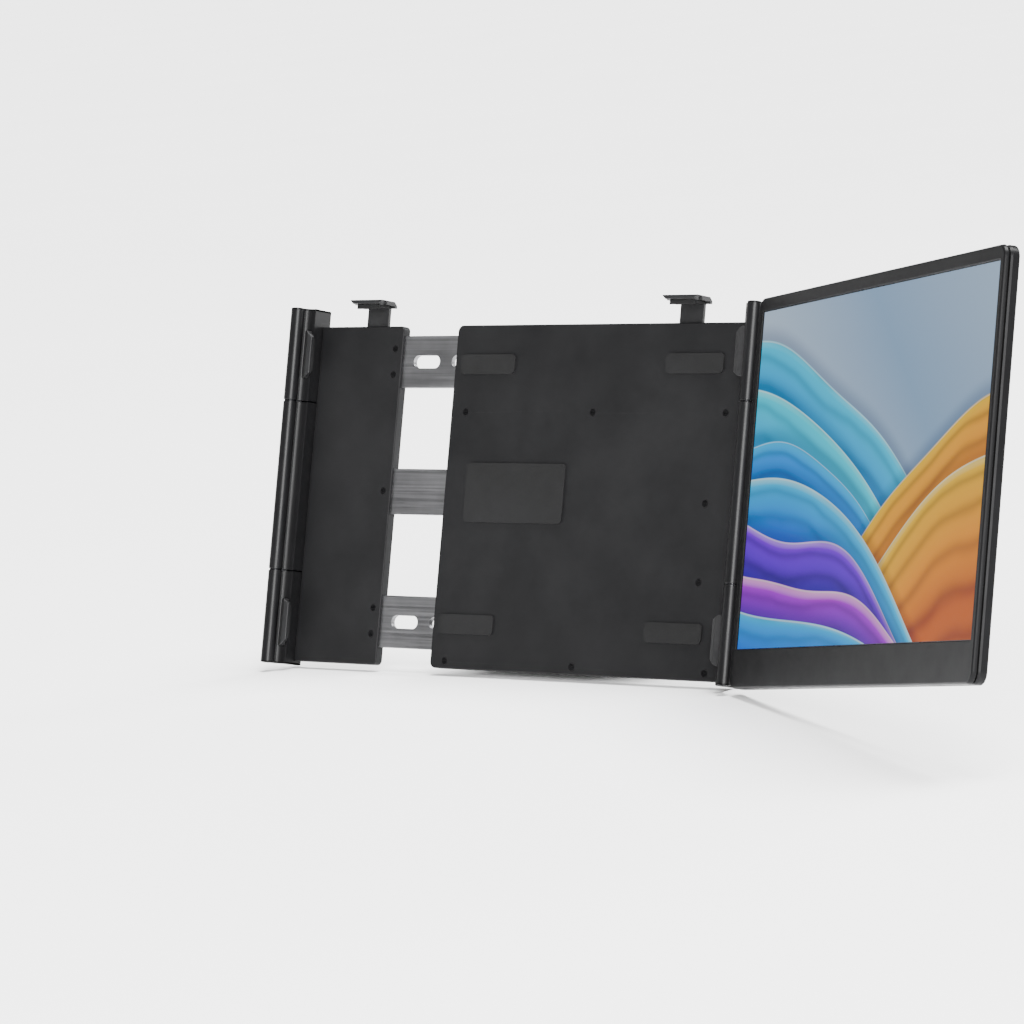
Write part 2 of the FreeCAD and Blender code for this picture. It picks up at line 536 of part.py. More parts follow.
# ------------------------------------------------------------------- export
total = 0
for n, ss in sorted(OUT.items()):
    bad = [s for s in ss if not s.isValid() or s.Volume <= 0]
    sol = []
    for s in ss:
        sol += s.Solids
    shape = sol[0] if len(sol) == 1 else Part.makeCompound(sol)
    shape.exportStep("parts/%s.step" % n)
    bb = shape.BoundBox
    print("%-22s solids %d vol %.0f%s  x %.1f..%.1f y %.1f..%.1f z %.1f..%.1f" % (
        n, len(sol), sum(s.Volume for s in sol), " INVALID" if bad else "",
        bb.XMin, bb.XMax, bb.YMin, bb.YMax, bb.ZMin, bb.ZMax))
print(len(OUT), "nodes")
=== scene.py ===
import json
import math
import bpy
import bmesh
from mathutils import Vector, Matrix

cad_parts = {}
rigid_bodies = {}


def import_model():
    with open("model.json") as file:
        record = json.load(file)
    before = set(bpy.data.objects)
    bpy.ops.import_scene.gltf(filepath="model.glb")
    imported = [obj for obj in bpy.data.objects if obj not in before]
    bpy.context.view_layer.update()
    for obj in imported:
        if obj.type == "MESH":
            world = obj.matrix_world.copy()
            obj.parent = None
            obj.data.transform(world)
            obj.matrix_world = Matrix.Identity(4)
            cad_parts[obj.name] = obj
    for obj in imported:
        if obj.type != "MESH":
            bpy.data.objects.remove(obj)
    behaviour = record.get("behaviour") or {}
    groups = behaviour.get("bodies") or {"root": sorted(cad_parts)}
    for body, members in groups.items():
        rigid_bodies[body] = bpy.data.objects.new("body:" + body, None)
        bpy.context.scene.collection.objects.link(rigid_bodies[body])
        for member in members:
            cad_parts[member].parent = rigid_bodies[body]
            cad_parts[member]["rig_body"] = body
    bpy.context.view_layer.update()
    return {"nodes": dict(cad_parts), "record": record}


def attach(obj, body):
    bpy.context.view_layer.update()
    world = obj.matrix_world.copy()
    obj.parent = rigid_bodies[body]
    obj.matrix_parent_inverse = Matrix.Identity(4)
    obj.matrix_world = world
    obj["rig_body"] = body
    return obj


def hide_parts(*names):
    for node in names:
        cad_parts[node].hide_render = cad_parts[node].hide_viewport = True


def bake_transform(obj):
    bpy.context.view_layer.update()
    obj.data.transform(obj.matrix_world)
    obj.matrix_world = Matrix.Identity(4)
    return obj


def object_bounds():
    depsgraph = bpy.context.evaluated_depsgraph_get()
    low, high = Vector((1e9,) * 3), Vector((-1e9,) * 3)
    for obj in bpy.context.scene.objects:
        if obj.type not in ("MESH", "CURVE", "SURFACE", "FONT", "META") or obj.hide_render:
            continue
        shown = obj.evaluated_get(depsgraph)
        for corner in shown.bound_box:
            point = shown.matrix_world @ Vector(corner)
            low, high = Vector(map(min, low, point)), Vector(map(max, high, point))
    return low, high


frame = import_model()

N = frame["nodes"]

# ------------------------------------------------------------------ frame
# Upright design coordinates in mm (x right, y rear, z up) and the screen's own
# (u from the column axis, w to the rear, z up), turned into metres in the row frame.
LEAN = math.radians(14.8)
CL, SL = math.cos(LEAN), math.sin(LEAN)
AX, AY = 185.2, -4.8
R_COL = 4.3


def U(x, y, z):
    return Vector((x / 1000.0, ((y - 5.8) * CL + z * SL) / 1000.0, (-(y - 5.8) * SL + z * CL) / 1000.0))


SA = math.radians(-30.0)


def S(u, w, z):
    return U(AX + u * math.cos(SA) - w * math.sin(SA), AY + u * math.sin(SA) + w * math.cos(SA), z)


def M_(x, y, z):
    return U(-x, y, z)


# --------------------------------------------------------------- materials
def nt(name):
    m = bpy.data.materials.new(name)
    m.use_nodes = True
    t = m.node_tree
    t.nodes.clear()
    out = t.nodes.new("ShaderNodeOutputMaterial")
    b = t.nodes.new("ShaderNodeBsdfPrincipled")
    t.links.new(b.outputs[0], out.inputs[0])
    return m, t, b


def noise(t, co, scale, detail=4.0, rough=0.55):
    n = t.nodes.new("ShaderNodeTexNoise")
    n.inputs["Scale"].default_value = scale
    n.inputs["Detail"].default_value = detail
    n.inputs["Roughness"].default_value = rough
    t.links.new(co, n.inputs["Vector"])
    return n.outputs["Fac"]


def ramp(t, fac, stops):
    r = t.nodes.new("ShaderNodeValToRGB")
    e = r.color_ramp.elements
    while len(e) < len(stops):
        e.new(0.5)
    for k, (p, c) in enumerate(stops):
        e[k].position = p
        e[k].color = c if len(c) == 4 else (*c, 1.0)
    t.links.new(fac, r.inputs[0])
    return r.outputs[0]


def maprange(t, v, a, b, c, d, smooth=False):
    n = t.nodes.new("ShaderNodeMapRange")
    if smooth:
        n.interpolation_type = "SMOOTHSTEP"
    n.inputs[1].default_value = a
    n.inputs[2].default_value = b
    n.inputs[3].default_value = c
    n.inputs[4].default_value = d
    t.links.new(v, n.inputs[0])
    return n.outputs[0]


def mth(t, op, a, b=None, clamp=False):
    n = t.nodes.new("ShaderNodeMath")
    n.operation = op
    n.use_clamp = clamp
    for i, v in ((0, a), (1, b)):
        if v is None:
            continue
        if isinstance(v, (int, float)):
            n.inputs[i].default_value = v
        else:
            t.links.new(v, n.inputs[i])
    return n.outputs[0]


def mixc(t, fac, a, b):
    n = t.nodes.new("ShaderNodeMix")
    n.data_type = "RGBA"
    for i, v in ((0, fac), (6, a), (7, b)):
        if isinstance(v, tuple):
            n.inputs[i].default_value = v if len(v) == 4 else (*v, 1.0)
        elif isinstance(v, (int, float)):
            n.inputs[i].default_value = v
        else:
            t.links.new(v, n.inputs[i])
    return n.outputs[2]


def plastic(name, dark, light, rough=(0.38, 0.5), tex=1500.0, bump=0.05, worn=0.10, spec=0.5, grain=True):
    """moulded satin plastic: spark texture, slow colour drift, rubbed edges"""
    m, t, b = nt(name)
    co = t.nodes.new("ShaderNodeTexCoord").outputs["Object"]
    slow = noise(t, co, 18.0, 3.0)
    fine = noise(t, co, tex, 3.0, 0.6)
    col = ramp(t, slow, [(0.3, dark), (0.7, light)])
    geo = t.nodes.new("ShaderNodeNewGeometry")
    edge = maprange(t, geo.outputs["Pointiness"], 0.52, 0.62, 0.0, worn)
    speck = maprange(t, noise(t, co, 240.0, 5.0, 0.7), 0.45, 0.7, 0.2, 1.0)
    wear = mth(t, "MULTIPLY", edge, speck)
    hi = tuple(min(1.0, c * 3.2 + 0.03) for c in light[:3])
    t.links.new(mixc(t, wear, col, hi), b.inputs["Base Color"])
    r = maprange(t, noise(t, co, 60.0, 4.0), 0.3, 0.7, rough[0], rough[1])
    r2 = mth(t, "ADD", r, mth(t, "MULTIPLY", mth(t, "SUBTRACT", fine, 0.5), 0.12))
    t.links.new(r2, b.inputs["Roughness"])
    b.inputs["Specular IOR Level"].default_value = spec
    if grain:
        bp = t.nodes.new("ShaderNodeBump")
        bp.inputs["Strength"].default_value = bump
        bp.inputs["Distance"].default_value = 0.0002
        t.links.new(fine, bp.inputs["Height"])
        t.links.new(bp.outputs[0], b.inputs["Normal"])
    return m


def metal(name, dark, light, rough=(0.25, 0.4), axis="x"):
    m, t, b = nt(name)
    co = t.nodes.new("ShaderNodeTexCoord").outputs["Object"]
    mp = t.nodes.new("ShaderNodeMapping")
    mp.inputs["Scale"].default_value = (12.0, 900.0, 900.0) if axis == "x" else (900.0, 900.0, 12.0)
    t.links.new(co, mp.inputs[0])
    br = noise(t, mp.outputs[0], 1.0, 3.0)
    slow = noise(t, co, 35.0, 3.0)
    f = mth(t, "ADD", mth(t, "MULTIPLY", br, 0.6), mth(t, "MULTIPLY", slow, 0.4))
    t.links.new(ramp(t, f, [(0.3, dark), (0.7, light)]), b.inputs["Base Color"])
    b.inputs["Metallic"].default_value = 1.0
    t.links.new(maprange(t, br, 0.3, 0.7, rough[0], rough[1]), b.inputs["Roughness"])
    bp = t.nodes.new("ShaderNodeBump")
    bp.inputs["Strength"].default_value = 0.06
    bp.inputs["Distance"].default_value = 0.0001
    t.links.new(br, bp.inputs["Height"])
    t.links.new(bp.outputs[0], b.inputs["Normal"])
    return m


MAT = {
    "plastic_hub": plastic("hub_plastic", (0.0065, 0.0065, 0.007), (0.0105, 0.0105, 0.011), (0.42, 0.55), 1600, 0.10, 0.14, 0.13),
    "plastic_column": plastic("column_plastic", (0.0045, 0.0045, 0.0048), (0.0065, 0.0065, 0.007), (0.30, 0.36), 2200, 0.03, 0.10, 0.22),
    "plastic_clip": plastic("clip_plastic", (0.010, 0.010, 0.0105), (0.015, 0.015, 0.0155), (0.28, 0.38), 1800, 0.05, 0.22, 0.30),
    "plastic_screen": plastic("screen_plastic", (0.0050, 0.0050, 0.0053), (0.0075, 0.0075, 0.008), (0.30, 0.38), 2000, 0.05, 0.10, 0.075),
    "plastic_button": plastic("button_plastic", (0.016, 0.016, 0.017), (0.024, 0.024, 0.025), (0.4, 0.5), 1800, 0.06, 0.1, 0.35),
    "rubber": plastic("rubber", (0.005, 0.005, 0.005), (0.009, 0.009, 0.0095), (0.7, 0.85), 900, 0.15, 0.05, 0.2),
    "gasket": plastic("gasket", (0.001, 0.001, 0.001), (0.002, 0.002, 0.002), (0.8, 0.95), 1200, 0.08, 0.0, 0.05),
    "steel": metal("steel", (0.30, 0.30, 0.31), (0.52, 0.52, 0.53)),
    "black_steel": metal("black_steel", (0.010, 0.010, 0.011), (0.022, 0.022, 0.023), (0.35, 0.5)),
    "steel_arm": metal("arm_steel", (0.16, 0.16, 0.165), (0.30, 0.30, 0.31), (0.3, 0.45)),
    "spring_steel": metal("spring_steel", (0.35, 0.35, 0.37), (0.6, 0.6, 0.62), (0.2, 0.3)),
    "kickstand_metal": plastic("kickstand_finish", (0.012, 0.012, 0.013), (0.018, 0.018, 0.019), (0.30, 0.40), 3000, 0.04, 0.25, 0.4),
    "pom": plastic("pom", (0.62, 0.61, 0.57), (0.74, 0.73, 0.69), (0.4, 0.5), 700, 0.03, 0.0),
    "backlight": metal("backlight_tray", (0.45, 0.45, 0.45), (0.65, 0.65, 0.65)),
    "board": plastic("board", (0.010, 0.10, 0.045), (0.014, 0.14, 0.06), (0.25, 0.4), 500, 0.05, 0.0),
    "ribbon": plastic("ribbon", (0.42, 0.25, 0.06), (0.55, 0.34, 0.09), (0.3, 0.45), 400, 0.02, 0.0),
}


# ------------------------------------------------ picture on the display
def picture():
    """generic layered waves: pale sky, cyan and blue folds, violet and orange swells"""
    m, t, b = nt("display_picture")
    uv = t.nodes.new("ShaderNodeUVMap")
    uv.uv_map = "picture"
    sep = t.nodes.new("ShaderNodeSeparateXYZ")
    t.links.new(uv.outputs[0], sep.inputs[0])
    x, y = sep.outputs[0], sep.outputs[1]

    def sky():
        g = mth(t, "ADD", mth(t, "MULTIPLY", x, 0.55), mth(t, "MULTIPLY", y, 0.35))
        return ramp(t, g, [(0.0, (0.78, 0.81, 0.86)), (0.35, (0.60, 0.68, 0.78)), (0.62, (0.40, 0.50, 0.63)),
                           (0.9, (0.52, 0.61, 0.72))])

    def curve(a0, terms):
        s = a0
        for amp, fr, ph in terms:
            s = mth(t, "ADD", s, mth(t, "MULTIPLY", mth(t, "SINE", mth(t, "ADD", mth(t, "MULTIPLY", x, fr), ph)), amp))
        return s

    uvn = t.nodes.new("ShaderNodeCombineXYZ")
    t.links.new(mth(t, "MULTIPLY", x, 1.8), uvn.inputs[0])
    t.links.new(y, uvn.inputs[1])
    silk = mth(t, "SUBTRACT", noise(t, uvn.outputs[0], 2.2, 2.0, 0.4), 0.5)

    def layer(base, a0, slope, terms, width, stops, folds=26.0, depth=0.30, soft=0.0016):
        """one swell of cloth: smooth colour run, fine folds along it, a thin bright rim"""
        top = mth(t, "ADD", curve(a0, terms), mth(t, "MULTIPLY", x, slope))
        d = mth(t, "SUBTRACT", top, y)
        mask = maprange(t, d, -soft, soft, 0.0, 1.0, True)
        g = mth(t, "DIVIDE", d, width)
        col = ramp(t, g, stops)
        ph = mth(t, "ADD", mth(t, "MULTIPLY", mth(t, "POWER", mth(t, "MAXIMUM", g, 0.0), 0.7), folds), mth(t, "MULTIPLY", silk, 3.6))
        ridge = mth(t, "POWER", mth(t, "ABSOLUTE", mth(t, "SINE", ph)), 1.6)
        col = mixc(t, mth(t, "MULTIPLY", ridge, depth), col, mixc(t, 0.55, col, (0.95, 0.97, 1.0)))
        shade_ = mth(t, "MULTIPLY", mth(t, "POWER", mth(t, "SUBTRACT", 1.0, ridge), 2.0), depth * 1.25)
        col = mixc(t, shade_, col, (0.005, 0.008, 0.06))
        rim = maprange(t, mth(t, "ABSOLUTE", mth(t, "SUBTRACT", d, 0.003)), 0.0, 0.004, 0.75, 0.0)
        col = mixc(t, rim, col, mixc(t, 0.7, col, (1.0, 1.0, 1.0)))
        # a soft shadow under the rim of the swell in front
        under = maprange(t, d, -0.06, 0.0, 0.0, 0.45, True)
        base = mixc(t, under, base, mixc(t, 0.8, base, (0.0, 0.01, 0.08)))
        return mixc(t, mask, base, col)

    c = sky()
    # far blue folds
    c = layer(c, 0.86, -0.58, [(0.10, 4.2, 0.4), (0.02, 11.0, 1.0)], 0.55,
              [(0.0, (0.45, 0.86, 1.0)), (0.10, (0.10, 0.62, 0.95)), (0.40, (0.01, 0.27, 0.86)), (1.0, (0.0, 0.06, 0.50))], 16.0, 0.22)
    c = layer(c, 0.74, -0.70, [(0.12, 4.6, 0.1), (0.02, 9.0, 2.0)], 0.42,
              [(0.0, (0.50, 0.95, 1.0)), (0.12, (0.08, 0.70, 0.95)), (0.5, (0.01, 0.36, 0.90)), (1.0, (0.0, 0.10, 0.62))], 13.0, 0.20)
    c = layer(c, 0.62, -0.66, [(0.13, 5.0, -0.2), (0.015, 13.0, 0.3)], 0.34,
              [(0.0, (0.20, 0.66, 1.0)), (0.14, (0.02, 0.34, 0.98)), (0.6, (0.0, 0.09, 0.72)), (1.0, (0.01, 0.01, 0.32))], 15.0, 0.26)
    # warm swells on the right
    c = layer(c, 0.00, 0.60, [(0.07, 6.2, 2.7), (0.015, 14.0, 0.0)], 0.46,
              [(0.0, (1.0, 0.72, 0.26)), (0.12, (1.0, 0.46, 0.05)), (0.5, (0.95, 0.27, 0.01)), (1.0, (0.48, 0.08, 0.01))], 17.0, 0.30)
    c = layer(c, -0.18, 0.66, [(0.06, 7.4, 1.9)], 0.36,
              [(0.0, (1.0, 0.84, 0.46)), (0.14, (1.0, 0.56, 0.10)), (0.6, (0.98, 0.34, 0.02)), (1.0, (0.62, 0.13, 0.01))], 13.0, 0.28)
    c = layer(c, 0.54, -0.62, [(0.12, 5.6, -0.5), (0.02, 10.0, 1.3)], 0.30,
              [(0.0, (0.60, 0.92, 1.0)), (0.12, (0.14, 0.56, 0.98)), (0.55, (0.03, 0.16, 0.82)), (1.0, (0.05, 0.01, 0.42))], 12.0, 0.22)
    # violet folds in front
    c = layer(c, 0.43, -0.62, [(0.10, 5.4, -0.9), (0.02, 12.0, 2.2)], 0.26,
              [(0.0, (0.72, 0.52, 1.0)), (0.12, (0.28, 0.12, 0.85)), (0.55, (0.07, 0.015, 0.52)), (1.0, (0.02, 0.0, 0.20))], 12.0, 0.30)
    c = layer(c, 0.30, -0.52, [(0.09, 5.0, -1.2), (0.01, 15.0, 0.0)], 0.24,
              [(0.0, (0.98, 0.60, 0.85)), (0.14, (0.50, 0.16, 0.78)), (0.6, (0.11, 0.03, 0.62)), (1.0, (0.02, 0.01, 0.26))], 10.0, 0.26)
    c = layer(c, 0.17, -0.42, [(0.07, 4.6, -1.0)], 0.20,
              [(0.0, (0.50, 0.84, 1.0)), (0.16, (0.05, 0.40, 0.98)), (0.7, (0.01, 0.08, 0.74)), (1.0, (0.01, 0.02, 0.38))], 8.0, 0.20)
    hs = t.nodes.new("ShaderNodeHueSaturation")
    hs.inputs["Saturation"].default_value = 1.6
    hs.inputs["Value"].default_value = 0.85
    t.links.new(c, hs.inputs["Color"])
    c = hs.outputs[0]
    # dark base under the lit picture, its gloss drifting slightly with a noise
    b.inputs["Base Color"].default_value = (0.006, 0.006, 0.008, 1.0)
    t.links.new(c, b.inputs["Emission Color"])
    b.inputs["Emission Strength"].default_value = 1.0
    co = t.nodes.new("ShaderNodeTexCoord").outputs["Object"]
    t.links.new(maprange(t, noise(t, co, 40.0, 3.0), 0.3, 0.7, 0.30, 0.36), b.inputs["Roughness"])
    b.inputs["Specular IOR Level"].default_value = 0.04
    return m


MAT["display"] = plastic("display_border", (0.004, 0.004, 0.005), (0.006, 0.006, 0.007), (0.25, 0.32), 300, 0.01, 0.0, 0.3)
MAT["picture"] = picture()

SLOT = {s["node"]: s["material_slot"] for s in frame["record"]["subparts"]}
for n, o in N.items():
    mat = MAT[SLOT[n]]
    if not o.material_slots:
        o.data.materials.append(mat)
    for s in o.material_slots:
        s.material = mat


# ------------------------------------------------------------ mesh helpers
def obj(name, bm, mats, body, nodes=(), angle=32):
    bmesh.ops.recalc_face_normals(bm, faces=bm.faces)
    me = bpy.data.meshes.new(name)
    bm.to_mesh(me)
    bm.free()
    o = bpy.data.objects.new(name, me)
    bpy.context.scene.collection.objects.link(o)
    for m in mats:
        me.materials.append(MAT[m] if isinstance(m, str) else m)
    shade(o, angle)
    weighted(o)
    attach(o, body)
    if nodes:
        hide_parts(*nodes)
    return o


def shade(o, angle=32):
    for p in o.data.polygons:
        p.use_smooth = True
    bpy.context.view_layer.objects.active = o
    o.select_set(True)
    o.data.set_sharp_from_angle(angle=math.radians(angle))
    o.select_set(False)


def apply_mods(o):
    dg = bpy.context.evaluated_depsgraph_get()
    ev = o.evaluated_get(dg)
    me = bpy.data.meshes.new_from_object(ev, preserve_all_data_layers=True, depsgraph=dg)
    o.modifiers.clear()
    old = o.data
    o.data = me
    bpy.data.meshes.remove(old)


def weighted(o):
    """flat faces stay flat: corner normals follow the larger faces"""
    m = o.modifiers.new("w", "WEIGHTED_NORMAL")
    m.mode = "FACE_AREA"
    m.weight = 90
    m.keep_sharp = True
    apply_mods(o)


def bevel(o, mm, seg=3, angle=30):
    m = o.modifiers.new("b", "BEVEL")
    m.width = mm / 1000.0
    m.segments = seg
    m.limit_method = "ANGLE"
    m.angle_limit = math.radians(angle)
    m.use_clamp_overlap = True
    apply_mods(o)
    shade(o, 50)
    weighted(o)


def extrude(bm, pts, z0, z1, place, mi=0):
    """closed outline pts (a, b) swept from z0 to z1 through place(a, b, z)"""
    lo = [bm.verts.new(place(a, b, z0)) for a, b in pts]
    hi = [bm.verts.new(place(a, b, z1)) for a, b in pts]
    n = len(pts)
    fs = []
    for i in range(n):
        fs.append(bm.faces.new((lo[i], lo[(i + 1) % n], hi[(i + 1) % n], hi[i])))
    fs.append(bm.faces.new(lo[::-1]))
    fs.append(bm.faces.new(hi))
    for f in fs:
        f.material_index = mi
    return lo, hi, fs


def rrect(x0, x1, z0, z1, r, k=10):
    pts = []
    for cx, cz, a0 in ((x1 - r, z0 + r, -90), (x1 - r, z1 - r, 0), (x0 + r, z1 - r, 90), (x0 + r, z0 + r, 180)):
        for i in range(k + 1):
            a = math.radians(a0 + 90.0 * i / k)
            pts.append((cx + r * math.cos(a), cz + r * math.sin(a)))
    return pts


def rings(bm, loops, close_first=True, close_last=True, mis=None):
    """skin a list of equal-length closed loops of points"""
    vs = [[bm.verts.new(p) for p in lp] for lp in loops]
    n = len(loops[0])
    for k in range(len(vs) - 1):
        for i in range(n):
            f = bm.faces.new((vs[k][i], vs[k][(i + 1) % n], vs[k + 1][(i + 1) % n], vs[k + 1][i]))
            if mis:
                f.material_index = mis[k]
    if close_first:
        bm.faces.new(vs[0][::-1])
    if close_last:
        bm.faces.new(vs[-1])
    return vs


# ----------------------------------------------------------------- columns
def outline(web):
    """barrel with the web that runs beside the lid, right side, counter-clockwise"""
    pts = []
    # barrel, from where the web's front leaves it round to where its rear joins
    a0, a1 = math.radians(207), math.radians(207 - 290)
    if not web:
        return [(AX + R_COL * math.cos(math.radians(a)), AY + R_COL * math.sin(math.radians(a)))
                for a in range(0, 360, 6)]
    for i in range(0, 49):
        a = math.radians(147 + (92 + 360 - 147) * i / 48.0)
        pts.append((AX + R_COL * math.cos(a), AY + R_COL * math.sin(a)))
    # rear flank: out of the barrel, hollow curve down to the hub
    pts += [(184.3, 0.2), (183.0, 1.1), (181.2, 2.0), (179.7, 3.2), (178.7, 4.8), (178.2, 6.6), (178.2, 10.0),
            (178.2, 13.8), (177.8, 14.2), (175.0, 14.2), (174.6, 13.8)]
    # front of the web: a rounded shoulder beside the barrel, then flat to the lid's side
    pts += [(174.6, 0.3), (174.75, -0.05), (175.1, -0.2), (177.2, -0.2), (178.3, -0.38), (179.2, -0.72), (180.0, -1.22),
            (180.7, -1.80), (181.15, -2.16), (181.45, -2.26)]
    return pts


def column(name, z0, z1, side, body, nodes, end0=0.35, end1=0.35):
    bm = bmesh.new()
    place = U if side > 0 else M_
    pts = outline(True)
    cx = sum(p[0] for p in pts) / len(pts)
    cy = sum(p[1] for p in pts) / len(pts)

    def loop(z, inset):
        lp = []
        m = len(pts)
        for i, (a, b) in enumerate(pts):
            pa, pb = pts[i - 1], pts[(i + 1) % m]
            tx, ty = pb[0] - pa[0], pb[1] - pa[1]
            l = math.hypot(tx, ty) or 1.0
            nx, ny = -ty / l, tx / l
            lp.append(place(a + nx * inset, b + ny * inset, z))
        return lp

    lo = []
    for z, e, s in ((z0, end0, 1), (z1, end1, -1)):
        k = []
        for i in range(6):
            a = math.radians(90.0 * i / 5)
            k.append((z + s * e * (1 - math.cos(a)), e * (1 - math.sin(a))))
        lo.append(k)
    seq = lo[0] + [(z0 + (z1 - z0) * t, 0.0) for t in (0.25, 0.5, 0.75)] + lo[1][::-1]
    rings(bm, [loop(z, ins) for z, ins in seq])
    return obj(name, bm, ["plastic_column"], body, nodes, 28)


G = 1.0
ZT, ZB, B1, B2 = 112.5, -109.6, 54.3, -51.5
CAP = 1.6
column("right_barrel_upper", B1 + G / 2, ZT - CAP, 1, "hub", ["right_column_upper"], 0.3, 0.02)
column("right_barrel_lower", ZB + CAP, B2 - G / 2, 1, "hub", ["right_column_lower"], 0.02, 0.3)
column("left_barrel_upper", B1 + G / 2, ZT - CAP, -1, "left_frame", ["left_column_upper"], 0.3, 0.02)
column("left_barrel_middle", B2 + G / 2, B1 - G / 2, -1, "left_frame", ["left_column_middle"], 0.3, 0.3)
column("left_barrel_lower", ZB + CAP, B2 - G / 2, -1, "left_frame", ["left_column_lower"], 0.02, 0.3)
for sd, bd in ((1, "hub"), (-1, "left_frame")):
    nm = "right" if sd > 0 else "left"
    column(nm + "_cap_top", ZT - CAP, ZT, sd, bd, [nm + "_column_caps"], 0.02, 1.3)
    column(nm + "_cap_bottom", ZB, ZB + CAP, sd, bd, [nm + "_column_caps"], 1.3, 0.02)


# ------------------------------------------------------------------ screen
U0, U1, SZ0, SZ1 = 4.8, 361.8, -111.3, 113.6
DU0, DU1, DZ0, DZ1 = 12.0, 356.2, -88.45, 105.15
WF, WD, WP0, WP1, WR = 1.2, 2.2, 3.8, 4.9, 10.2


def screen():
    # front frame: a rolled edge outside, a small step down to the display inside
    bm = bmesh.new()

    def lp(ins, w, r):
        return [S(a, w, z) for a, z in rrect(U0 + ins, U1 - ins, SZ0 + ins, SZ1 - ins, max(r - ins, 0.3), 14)]

    def win(gr, w, r):
        return [S(a, w, z) for a, z in rrect(DU0 - gr, DU1 + gr, DZ0 - gr, DZ1 + gr, r, 14)]

    loops = [win(0.5, WP0, 0.3), win(0.5, WF + 0.35, 0.3), win(0.62, WF + 0.1, 0.35), win(0.85, WF, 0.4), win(1.0, WF, 0.5), lp(1.45, WF, 7.0)]
    prof = [(1.15, WF), (0.95, WF + 0.05), (0.75, WF + 0.16), (0.42, WF + 0.55), (0.30, WF + 0.80), (0.12, WF + 1.5),
            (0.02, WF + 2.1)]
    loops += [lp(ins, w, 7.0) for ins, w in prof]
    loops += [lp(0.0, WP0 - 0.25, 7.0), lp(0.08, WP0 - 0.08, 7.0), lp(0.25, WP0, 7.0)]
    vs = rings(bm, loops, False, False)
    n = len(loops[0])
    for i in range(n):
        bm.faces.new((vs[-1][i], vs[-1][(i + 1) % n], vs[0][(i + 1) % n], vs[0][i]))
    obj("front_frame", bm, ["plastic_screen"], "screen", ["screen_front_frame"], 30)

    # display: black border round a lit picture
    bm = bmesh.new()
    a = [S(u, WD, z) for u, z in ((8.8, -96.8), (359.2, -96.8), (359.2, 109.2), (8.8, 109.2))]
    i_ = [S(u, WD, z) for u, z in ((DU0, DZ0), (DU1, DZ0), (DU1, DZ1), (DU0, DZ1))]
    bk = [S(u, WD + 1.2, z) for u, z in ((8.8, -96.8), (359.2, -96.8), (359.2, 109.2), (8.8, 109.2))]
    va, vi, vb = [[bm.verts.new(p) for p in q] for q in (a, i_, bk)]
    for k in range(4):
        k2 = (k + 1) % 4
        bm.faces.new((va[k], va[k2], vi[k2], vi[k]))
        bm.faces.new((va[k2], va[k], vb[k], vb[k2]))
    bm.faces.new(vb)
    uvl = bm.loops.layers.uv.new("picture")
    f = bm.faces.new(vi)
    f.material_index = 1
    for l, q in zip(f.loops, ((0, 0), (1, 0), (1, 1), (0, 1))):
        l[uvl].uv = q
    obj("lit_display", bm, ["display", "picture"], "screen", ["display_panel"], 30)


screen()


# ---------------------------------------------------- screen's own barrel
def knuckle():
    bm = bmesh.new()
    R = R_COL
    pts = []
    a1 = math.degrees(math.asin(WF / R))
    # clockwise from where the bezel's plane meets the barrel, round the far side to the rear flank
    n = 46
    for i in range(n + 1):
        a = math.radians(a1 - (360.0 - 62.0 + a1 - 2.0) * i / n)
        pts.append((R * math.cos(a), R * math.sin(a)))
    pts += [(2.9, 4.6), (3.9, 5.8), (5.0, 7.2), (6.4, 7.6), (6.4, WF + 0.03), (4.7, WF + 0.01)]
    z0, z1 = B2 + G / 2, B1 - G / 2

    def loop(z, inset):
        lp = []
        m = len(pts)
        for i, (a, b) in enumerate(pts):
            pa, pb = pts[i - 1], pts[(i + 1) % m]
            tx, ty = pb[0] - pa[0], pb[1] - pa[1]
            l = math.hypot(tx, ty) or 1.0
            lp.append(S(a + ty / l * inset, b - tx / l * inset, z))
        return lp

    e = 0.3
    seq = []
    for i in range(5):
        a = math.radians(90.0 * i / 4)
        seq.append((z0 + e * (1 - math.cos(a)), e * (1 - math.sin(a))))
    up = [(z1 - (z - z0), ins) for z, ins in seq][::-1]
    rings(bm, [loop(z, ins) for z, ins in seq + [(z0 * 0.5 + z1 * 0.5, 0.0)] + up])
    obj("screen_barrel", bm, ["plastic_column"], "screen", ["screen_knuckle"], 28)


knuckle()


# ------------------------------------------------------------ edge rounding
def S_inv(p):
    x, q, r = p[0] * 1000.0, p[1] * 1000.0, p[2] * 1000.0
    y, z = q * CL - r * SL + 5.8, q * SL + r * CL
    dx, dy = x - AX, y - AY
    return dx * math.cos(SA) + dy * math.sin(SA), -dx * math.sin(SA) + dy * math.cos(SA), z


def shell_facet(bm):
    """the facet beside the groove: long along the side, shallow into it"""
    for v in bm.verts:
        u, w, z = S_inv(v.co)
        cu, cz = min(max(u, U0 + 7.0), U1 - 7.0), min(max(z, SZ0 + 7.0), SZ1 - 7.0)
        d = math.hypot(u - cu, z - cz)
        if d < 1.0:
            continue
        inset = 7.0 - d
        if abs(w - WP1 - 0.6) < 0.05 and inset < 0.06:
            v.co = S(u, w + 0.55, z)
        elif abs(w - WP1) < 0.05 and 0.5 < inset < 0.7:
            v.co = S(u + (u - cu) / d * 0.15, w, z + (z - cz) / d * 0.15)


